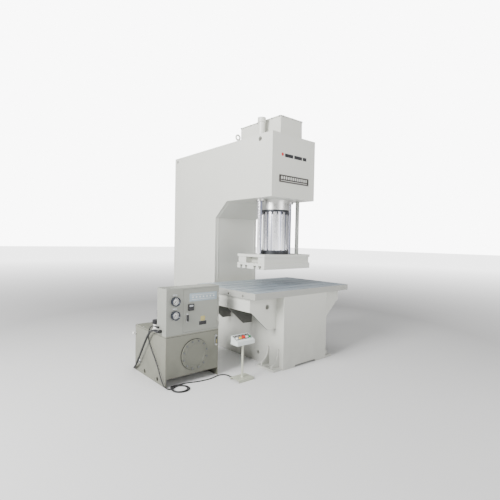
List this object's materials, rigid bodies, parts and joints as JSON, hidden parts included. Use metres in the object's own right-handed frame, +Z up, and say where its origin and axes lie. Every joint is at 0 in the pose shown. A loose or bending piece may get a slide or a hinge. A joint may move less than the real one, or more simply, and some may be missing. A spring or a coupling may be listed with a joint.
{
  "type": "hydraulic press",
  "caption": "C-frame hydraulic press: slotted table, chromed ram and slide, oil power unit with gauge cabinet, and a corded button stand.",
  "frame": {"origin": "on the floor, at the centre of the four anchor bolt holes of the welded frame", "axes": "+Z up, +X to the right of an operator who faces the press, +Y from the operator towards the column"},
  "size_m": [2.661, 2.625, 3.127],
  "materials": {
    "frame_paint": "satin machine enamel, pale warm grey",
    "unit_paint": "satin enamel, grey",
    "table_steel": "ground top, oiled",
    "machined_steel": "turned",
    "chrome": "hard chrome, polished",
    "black_steel": "black oxide",
    "zinc_steel": "zinc plated",
    "rod_paint": "grey enamel",
    "sensor_brass": "nickel-plated brass",
    "black_plastic": "moulded",
    "gauge_case": "stainless, satin",
    "needle_paint": "black lacquer",
    "motor_paint": "blue-grey enamel",
    "pump_iron": "painted casting",
    "valve_steel": "phosphated block",
    "stand_paint": "satin enamel",
    "console_paint": "satin enamel",
    "button_white": "gloss",
    "button_yellow": "gloss",
    "button_red": "gloss",
    "button_green": "gloss",
    "cable_rubber": "matt black sheath"
  },
  "bodies": {
    "frame": {"side_plate_left": "frame_paint", "side_plate_right": "frame_paint", "head_front_plate": "frame_paint", "head_bottom_plate": "frame_paint", "head_top_plate": "frame_paint", "throat_chamfer_plate": "frame_paint", "column_front_plate": "frame_paint", "column_rear_plate": "frame_paint", "jaw_front_panel": "frame_paint", "jaw_top_plate": "frame_paint", "base_plate": "frame_paint", "inner_stiffener_plates": "frame_paint", "anchor_feet": "frame_paint", "table_wing_left": "frame_paint", "table_wing_right": "frame_paint", "work_table": "table_steel", "cylinder_barrel": "machined_steel", "gland_ring": "machined_steel", "wiper_ring": "black_steel", "gland_bolts": "black_steel", "guide_bushes": "machined_steel", "prefill_tank": "frame_paint", "prefill_tank_lid": "frame_paint", "head_breather": "frame_paint", "travel_sensors": "sensor_brass", "oil_tank": "unit_paint", "tank_cover": "unit_paint", "manhole_cover": "unit_paint", "manhole_bolts": "zinc_steel", "control_cabinet": "unit_paint", "pressure_gauges": "gauge_case", "pump_motor": "motor_paint", "oil_pump": "pump_iron", "valve_block": "valve_steel", "filler_breather": "black_plastic", "pedestal_base": "stand_paint", "pedestal_post": "stand_paint", "console_box": "console_paint", "cord_fittings": "black_plastic", "control_cable_drop": "cable_rubber", "control_cable_coil": "cable_rubber", "control_cable_run": "cable_rubber", "supply_conduit": "cable_rubber"},
    "slide_unit": {"ram": "chrome", "ram_flange": "black_steel", "ram_flange_bolts": "black_steel", "slide": "frame_paint", "guide_rod_left": "chrome", "guide_rod_right": "chrome", "trip_rod": "rod_paint"},
    "door": {"cabinet_door": "unit_paint"},
    "door_lock": {"door_handle": "black_plastic"},
    "lower_needle": {"lower_gauge_needle": "needle_paint"},
    "upper_needle": {"upper_gauge_needle": "needle_paint"},
    "motor_rotor": {"motor_shaft": "machined_steel"},
    "home_push": {"home_button": "button_white"},
    "up_push": {"up_button": "button_yellow"},
    "stop_push": {"stop_button": "button_red"},
    "down_push": {"down_button": "button_white"},
    "start_push": {"start_button": "button_green"}
  },
  "joints": [
    {"name": "ram_travel", "type": "slide", "parent": "frame", "child": "slide_unit", "axis": [0, 0, 1], "range_m": [-0.18, 0.37]},
    {"name": "door_swing", "type": "hinge", "parent": "frame", "child": "door", "pos_m": [-1.093, -0.948, 0.76], "axis": [0, 0, 1], "range_deg": [0, 110]},
    {"name": "lock_turn", "type": "hinge", "parent": "door", "child": "door_lock", "pos_m": [-1.491, -0.94, 0.697], "axis": [0, 1, 0], "range_deg": [0, 90]},
    {"name": "lower_gauge_turn", "type": "hinge", "parent": "frame", "child": "lower_needle", "pos_m": [-1.64, -0.956, 0.74], "axis": [0, 1, 0], "range_deg": [0, 270]},
    {"name": "upper_gauge_turn", "type": "hinge", "parent": "frame", "child": "upper_needle", "pos_m": [-1.64, -0.956, 0.885], "axis": [0, 1, 0], "range_deg": [0, 270]},
    {"name": "motor_spin", "type": "hinge", "parent": "frame", "child": "motor_rotor", "pos_m": [-1.4, -0.47, 0.679], "axis": [1, 0, 0], "continuous": true},
    {"name": "home_press", "type": "slide", "parent": "frame", "child": "home_push", "axis": [0, 0.3714, -0.9285], "range_m": [0, 0.004], "stiffness_N_per_m": 1500},
    {"name": "up_press", "type": "slide", "parent": "frame", "child": "up_push", "axis": [0, 0.3714, -0.9285], "range_m": [0, 0.004], "stiffness_N_per_m": 1500},
    {"name": "stop_press", "type": "slide", "parent": "frame", "child": "stop_push", "axis": [0, 0.3714, -0.9285], "range_m": [0, 0.004], "stiffness_N_per_m": 1500},
    {"name": "down_press", "type": "slide", "parent": "frame", "child": "down_push", "axis": [0, 0.3714, -0.9285], "range_m": [0, 0.004], "stiffness_N_per_m": 1500},
    {"name": "start_press", "type": "slide", "parent": "frame", "child": "start_push", "axis": [0, 0.3714, -0.9285], "range_m": [0, 0.004], "stiffness_N_per_m": 1500}
  ]
}
